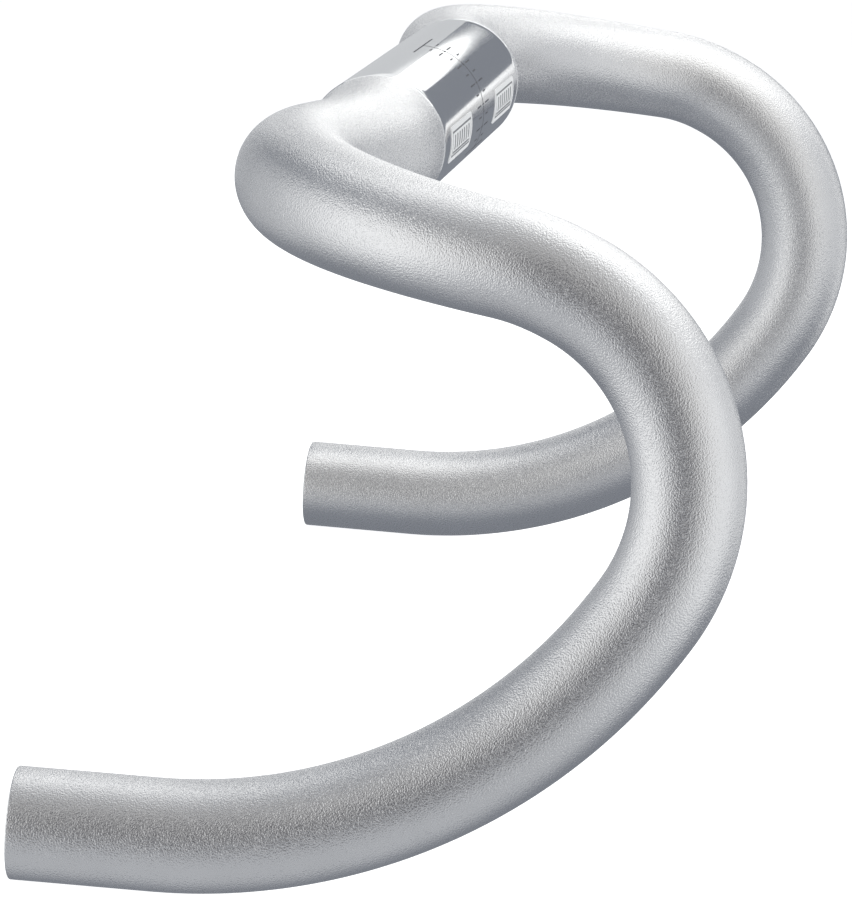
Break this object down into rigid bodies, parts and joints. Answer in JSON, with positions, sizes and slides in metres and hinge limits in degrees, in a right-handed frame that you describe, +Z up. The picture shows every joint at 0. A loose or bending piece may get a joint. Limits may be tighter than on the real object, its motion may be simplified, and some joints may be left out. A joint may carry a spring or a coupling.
{
  "type": "drop handlebar",
  "caption": "Compact bicycle drop handlebar: bent aluminium tube, polished thicker clamp zone tapering to bead-blasted hooks and open ends, with flat labels on its front.",
  "frame": {"origin": "middle of the clamp zone, on the tube's axis, where the stem holds the bar", "axes": "+X along the clamp zone to the rider's right, +Y forwards, +Z up; the ends of the drops are level, parallel to Y"},
  "size_m": [0.4558, 0.1458, 0.1578],
  "materials": {
    "bar_tube": "bead-blasted satin, with the clamp zone polished bright",
    "label": "frosted, satin"
  },
  "bodies": {
    "root": {"bar_tube": "bar_tube", "label_right": "label", "label_left": "label"}
  },
  "joints": []
}
